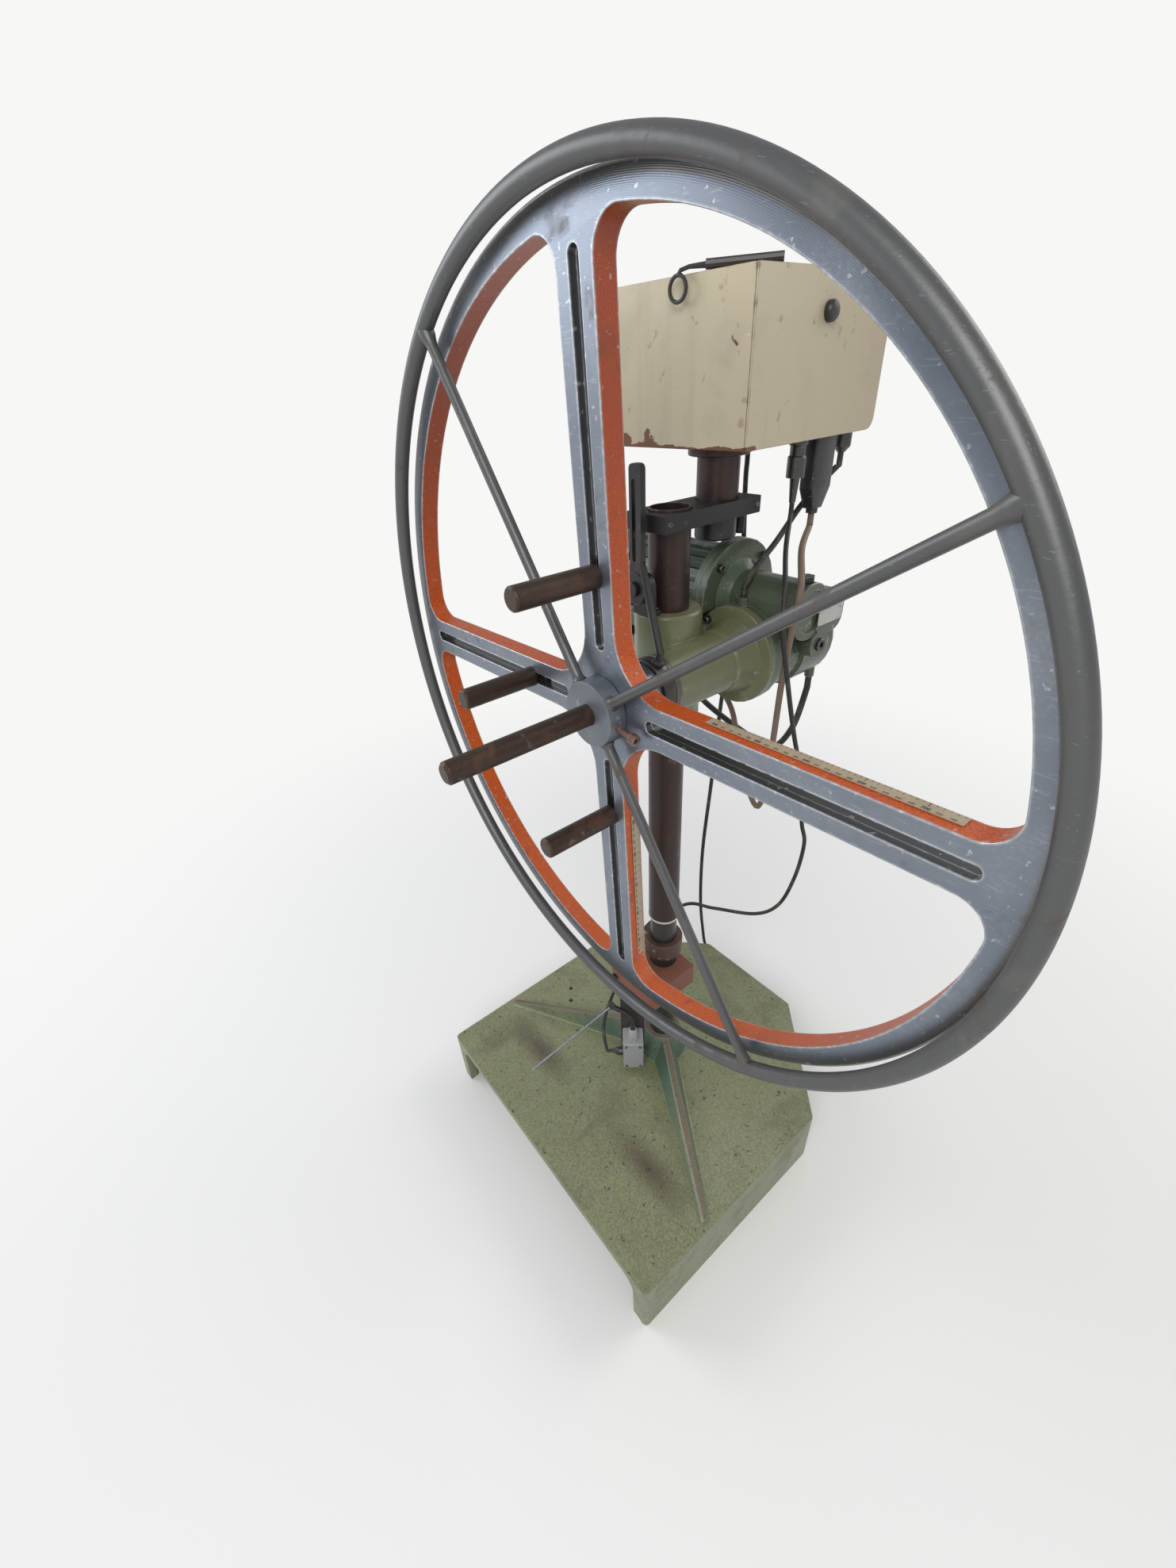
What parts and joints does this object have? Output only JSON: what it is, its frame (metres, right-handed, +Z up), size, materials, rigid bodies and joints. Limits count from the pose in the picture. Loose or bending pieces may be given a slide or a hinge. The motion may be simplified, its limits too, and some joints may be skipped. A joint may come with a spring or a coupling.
{
  "type": "strip decoiler",
  "caption": "Motor-driven strip decoiler: a slotted spoked reel with guard ring and sliding pins on a column stand with cast foot, control box, brake lever and feeler switch.",
  "frame": {"origin": "on the floor at the column's axis, on the underside of the foot's boss", "axes": "+Z up along the column, -Y the way the reel's face looks, +X to the right seen from the reel's face"},
  "size_m": [0.9078, 0.669, 1.3865],
  "materials": {
    "cast_aluminium": "machined face, hammered sides",
    "olive_paint": "worn satin paint on castings",
    "green_paint": "satin grey-green paint",
    "cream_paint": "worn satin paint on sheet metal",
    "black_paint": "worn satin black paint",
    "red_paint": "dull red-brown primer",
    "dark_steel": "oiled dark steel",
    "rusty_steel": "steel under brown rust",
    "bright_steel": "ground steel",
    "grey_steel": "dull grey steel",
    "bronze": "machined bronze",
    "rubber": "matt",
    "beige_rubber": "matt",
    "black_plastic": "matt",
    "white_plastic": "matt",
    "rule_steel": "printed scale strip",
    "board_green": "solder lacquer"
  },
  "bodies": {
    "stand": {"base_casting": "olive_paint", "post": "black_paint", "column_tube": "rusty_steel", "end_ring": "white_plastic", "foot_collar": "dark_steel", "foot_bracket": "red_paint", "switch_hanger": "dark_steel", "switch_body": "cast_aluminium", "switch_head": "cast_aluminium", "switch_gland": "black_plastic", "clamp_plate": "black_paint", "upper_tube": "rusty_steel", "tube_plug": "black_plastic", "box_shell": "cream_paint", "eye_bar": "black_paint", "connector_sensor": "grey_steel", "connector_hood": "black_plastic", "connector_motor": "grey_steel", "mains_gland": "black_plastic", "transformer": "grey_steel", "control_board": "board_green", "sensor_cable": "rubber", "encoder_cable": "rubber", "mains_cable": "rubber", "mains_plug": "black_plastic"},
    "head": {"head_casting": "olive_paint", "lever_bracket": "black_paint", "bearing_front": "bright_steel", "bearing_rear": "bright_steel", "gear_housing": "green_paint", "gear_cover": "green_paint", "oil_plug": "dark_steel", "motor_body": "green_paint", "fan_cowl": "green_paint", "terminal_box": "green_paint", "worm_bearing_left": "bright_steel", "worm_bearing_right": "bright_steel", "motor_hose": "beige_rubber", "loop_cable": "rubber"},
    "reel": {"spindle": "rusty_steel", "worm_wheel": "bronze", "reel_casting": "cast_aluminium", "brake_drum": "dark_steel", "rule_right": "rule_steel", "rule_bottom": "rule_steel"},
    "worm": {"worm_shaft": "bright_steel", "motor_rotor": "grey_steel"},
    "guard": {"guard_ring": "grey_steel", "guard_screw": "dark_steel"},
    "top_pin": {"pin_top": "rusty_steel", "pin_nut_top": "dark_steel"},
    "left_pin": {"pin_left": "rusty_steel", "pin_nut_left": "dark_steel"},
    "bottom_pin": {"pin_bottom": "rusty_steel", "pin_nut_bottom": "dark_steel"},
    "lever": {"brake_lever": "black_paint", "brake_pad": "rubber"},
    "feeler": {"feeler_arm": "rubber"},
    "door": {"box_door": "cream_paint", "door_knob": "black_plastic"}
  },
  "joints": [
    {"name": "head_lift", "type": "slide", "parent": "stand", "child": "head", "axis": [0, 0, 1], "range_m": [-0.12, 0.005]},
    {"name": "reel_spin", "type": "hinge", "parent": "head", "child": "reel", "pos_m": [0.0521, 0, 0.9326], "axis": [0, 1, 0], "continuous": true},
    {"name": "worm_spin", "type": "hinge", "parent": "head", "child": "worm", "pos_m": [0.0521, 0.115, 0.992], "axis": [1, 0, 0], "continuous": true},
    {"name": "guard_slide", "type": "slide", "parent": "reel", "child": "guard", "axis": [0, -1, 0], "range_m": [0, 0.17]},
    {"name": "pin_top_slide", "type": "slide", "parent": "reel", "child": "top_pin", "axis": [-0.0354, 0, 0.9994], "range_m": [-0.055, 0.235]},
    {"name": "pin_left_slide", "type": "slide", "parent": "reel", "child": "left_pin", "axis": [-0.9994, 0, -0.0354], "range_m": [-0.055, 0.235]},
    {"name": "pin_bottom_slide", "type": "slide", "parent": "reel", "child": "bottom_pin", "axis": [0.0354, 0, -0.9994], "range_m": [-0.055, 0.235]},
    {"name": "brake_swing", "type": "hinge", "parent": "head", "child": "lever", "pos_m": [0, -0.05, 1.034], "axis": [0, -1, 0], "range_deg": [0, 25]},
    {"name": "feeler_tilt", "type": "hinge", "parent": "stand", "child": "feeler", "pos_m": [0.0027, -0.07805, 0.234], "axis": [0.9609, -0.277, 0], "range_deg": [-10, 10], "stiffness_Nm_per_rad": 1},
    {"name": "door_hinge", "type": "hinge", "parent": "stand", "child": "door", "pos_m": [0.071, 0.039, 1.1685], "axis": [-0.0436, 0.999, 0], "range_deg": [0, 95]}
  ],
  "couplings": [
    {"joint": "worm_spin", "follows": "reel_spin", "ratio": -30}
  ]
}
